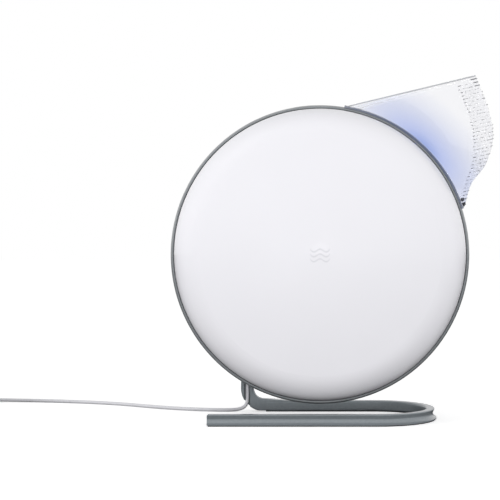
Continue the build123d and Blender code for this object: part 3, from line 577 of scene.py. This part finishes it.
def make_diffuser_shell():
    """Front wall, rear wall and top wall, moulded in one clear piece."""
    along = (TIP - TOP_START).normalized()
    outlet = [point - along * OUTLET_BACK for point in spline_points(OUTLET)]
    outline = outlet + [Vector((60, 20)), TOP_START]
    shell = link_mesh("diffuser_shell", prism(outline, -WALL_OUT, WALL_OUT),
                      materials["clear_plastic"], materials["clear_wall"],
                      materials["clear_rim"])
    down = Vector((math.sin(RISE), -math.cos(RISE))) * TOP_WALL_T
    hollow = [TOP_START + down - along * 30, TIP + down + along * 40, Vector((200, 0)),
              Vector((20, 0))]
    cut_away(shell, link_mesh("hollow_tool", prism(hollow, -WALL_IN, WALL_IN)))
    cut_away(shell, rim_crown(COLLAR_CLEAR))
    bevel = shell.modifiers.new("edges", "BEVEL")
    bevel.width = EDGE_ROUND * MM
    bevel.segments = 3
    bevel.limit_method = "ANGLE"
    bevel.angle_limit = math.radians(50)
    settle(shell)
    smooth_shade(shell)
    outlet_way, up_way = Vector((along.x, 0, along.y)), Vector((-along.y, 0, along.x))
    for face in shell.data.polygons:
        if face.normal.y < -0.9 and face.center.y < C.y - (WALL_OUT - SLIP) * MM:
            face.material_index = 1
        elif face.normal.dot(outlet_way) > 0.25 or abs(face.normal.dot(up_way)) > 0.9:
            face.material_index = 2
        else:
            face.material_index = 0
    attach(shell, "diffuser")
    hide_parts("diffuser_front_wall", "diffuser_rear_wall", "diffuser_top_wall")


def crossings(points, base, along):
    """How far along a row a curve crosses it, for each place where it does."""
    side = Vector((-along.y, along.x))
    for a, b in zip(points, points[1:]):
        da, db = (a - base).dot(side), (b - base).dot(side)
        if da == db or (da > 0) == (db > 0):
            continue
        crossing = a + (b - a) * (da / (da - db))
        yield (crossing - base).dot(along)


def make_diffuser_cells():
    """Rows of thin fins along the jet, with two cross sheets and uneven outer ends."""
    chance = random.Random(11)
    along = Vector((math.cos(RISE), math.sin(RISE)))
    down = Vector((math.sin(RISE), -math.cos(RISE)))
    outer, inner = spline_points(OUTLET), spline_points(CELLS_INSIDE)
    bm = bmesh.new()
    for row in range(1, 38):
        base = TIP + down * (1.9 + row * CELL_PITCH - CELL_PITCH * 0.6)
        ends = list(crossings(outer, base, along))
        starts = list(crossings(inner, base, along))
        if not ends:
            continue
        end = max(ends) - chance.random() * 1.3
        start = max(starts) if starts else end - 6.0
        start += chance.random() * 1.2
        if (base + along * start).length < SADDLE_R + 2.4:
            start = end - 4.0
        if end - start < 1.5:
            continue
        add_fin(bm, chance, base, along, down, start, end, row)
    # The dashes take the dark material of painted shade
    cells = link_mesh("diffuser_fins", bm, materials["clear_vane"], materials["painted_fin_shade"])
    smooth_shade(cells, 50)
    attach(cells, "diffuser")
    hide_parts("diffuser_cells")


def add_shade_dash(bm, along, down, start, length, wide):
    """A short streak of painted shade just behind the front wall, where a fin is thicker."""
    corners = [start - down * wide, start + along * length - down * wide,
               start + along * length + down * wide, start + down * wide]
    near = -WALL_IN + SLIP
    prism(corners, near, near + DASH_DEEP, bm, 1)


def add_fin(bm, chance, base, along, down, start, end, row):
    """One wavy fin between the walls, its streaks of painted shade, and the cross sheets under
    it.
    """
    steps = max(4, int((end - start) / 1.25))
    line = []
    for i in range(steps + 1):
        place = base + along * (start + (end - start) * i / steps)
        line.append(place + down * (chance.random() - 0.5) * 0.25)
    half = FIN_T / 2
    for a, b in zip(line, line[1:]):
        wide = half * (0.6 + 0.6 * chance.random())
        fin = [a - down * wide, b - down * wide, b + down * wide, a + down * wide]
        prism(fin, -WALL_IN + SLIP, WALL_IN - SLIP, bm, 0)
    upper = max(0.0, 1 - row / 10)
    if chance.random() < 0.8:
        add_shade_dash(bm, along, down, line[0], 0.7 + 1.3 * chance.random(), 0.26)
    for place in line[1:-2]:
        if chance.random() < 0.36 + 0.16 * upper:
            add_shade_dash(bm, along, down, place, 0.3 + 1.0 * chance.random(), 0.17)
    if chance.random() < 0.45 + 0.55 * upper:
        length = 0.8 + chance.random() * (1.0 + 5.0 * upper)
        add_shade_dash(bm, along, down, line[-1] - along * length, length, 0.2 + 0.25 * upper)
    tip = end - chance.random() * 0.8
    top, bottom = down * SHEET_MARGIN, down * (CELL_PITCH - SHEET_MARGIN)
    for sheet in SHEETS_AT:
        first, last = base + along * (start + 0.3), base + along * tip
        panel = [first + top, last + top, last + bottom, first + bottom]
        prism(panel, sheet - SHEET_T / 2, sheet + SHEET_T / 2, bm, 0)


# ---- Stage --------------------------------------------------------------------------------
FLOOR_SEEN, FLOOR_BOUNCE = 0.98, 0.05
FLOOR_HALF = 30
FLOOR_LIFT = 0.49
SKY, SKY_DIFFUSE = 1.0, 0.55
KEY_PLACE, KEY_SIZE = (-1.0, -0.7, 1.7), 1.0
KEY_WATTS = 1.6
# Each fill light's place from the body's centre, its width and its power
FILLS = [((0.0, -1.8, -0.02), 0.9, 14.5),
         ((-1.6, -0.7, 0.0), 0.7, 12.0),
         ((1.6, -0.7, 0.0), 0.7, 10.0)]
FILL_HIGH = 0.28


def make_floor():
    """A white floor that throws back less light than it shows, like paper with flags around."""
    n = Nodes("floor_white", (FLOOR_SEEN,) * 3, 0.9, Specular_IOR_Level=0.0,
              Emission_Color=(1, 1, 1, 1))
    path = n.add("ShaderNodeLightPath")
    seen = n.add("ShaderNodeMath", operation="MAXIMUM")
    n.link(path.outputs["Is Camera Ray"], seen.inputs[0])
    n.link(path.outputs["Is Transmission Ray"], seen.inputs[1])
    bounce, shown = (FLOOR_BOUNCE,) * 3, (FLOOR_SEEN,) * 3
    n.color(n.ramp(seen.outputs[0], (0.0, bounce), (1.0, shown)))
    lift = n.spread(seen.outputs[0], 0, FLOOR_LIFT, 0, 1)
    n.link(lift, n.shader.inputs["Emission Strength"])
    bm = bmesh.new()
    bmesh.ops.create_grid(bm, x_segments=1, y_segments=1, size=FLOOR_HALF)
    floor = link_mesh("floor", bm, n.material)
    floor.location = (0, 0, DESK)


def make_light(name, place, aim, size, power, size_y=None):
    data = bpy.data.lights.new(name, "AREA")
    data.shape = "RECTANGLE"
    data.size = size
    data.size_y = size_y or size
    data.energy = power
    light = bpy.data.objects.new(name, data)
    light.location = place
    light.rotation_euler = (Vector(aim) - Vector(place)).to_track_quat("-Z", "Y").to_euler()
    light.visible_camera = False
    bpy.context.scene.collection.objects.link(light)
    return light


def make_light_rig():
    world = bpy.data.worlds.new("world")
    world.use_nodes = True
    back = world.node_tree.nodes["Background"]
    back.inputs["Color"].default_value = (1, 1, 1, 1)
    path = world.node_tree.nodes.new("ShaderNodeLightPath")
    strength = world.node_tree.nodes.new("ShaderNodeMapRange")
    strength.inputs["To Min"].default_value = SKY
    strength.inputs["To Max"].default_value = SKY_DIFFUSE
    world.node_tree.links.new(path.outputs["Is Diffuse Ray"], strength.inputs["Value"])
    world.node_tree.links.new(strength.outputs["Result"], back.inputs["Strength"])
    bpy.context.scene.world = world
    make_light("key", KEY_PLACE, C, KEY_SIZE, KEY_WATTS)
    for way, width, watts in FILLS:
        fill = make_light("fill", C + Vector(way), C, width, watts, size_y=FILL_HIGH)
        fill.visible_glossy = False
        fill.visible_transmission = False
    bpy.context.scene.view_settings.view_transform = "Standard"


make_camera()
lead = make_lead()
lead.data.materials.append(materials["white_lead"])
finish_cad_nodes()
make_diffuser_shell()
make_diffuser_cells()
make_floor()
make_light_rig()

bpy.context.view_layer.update()
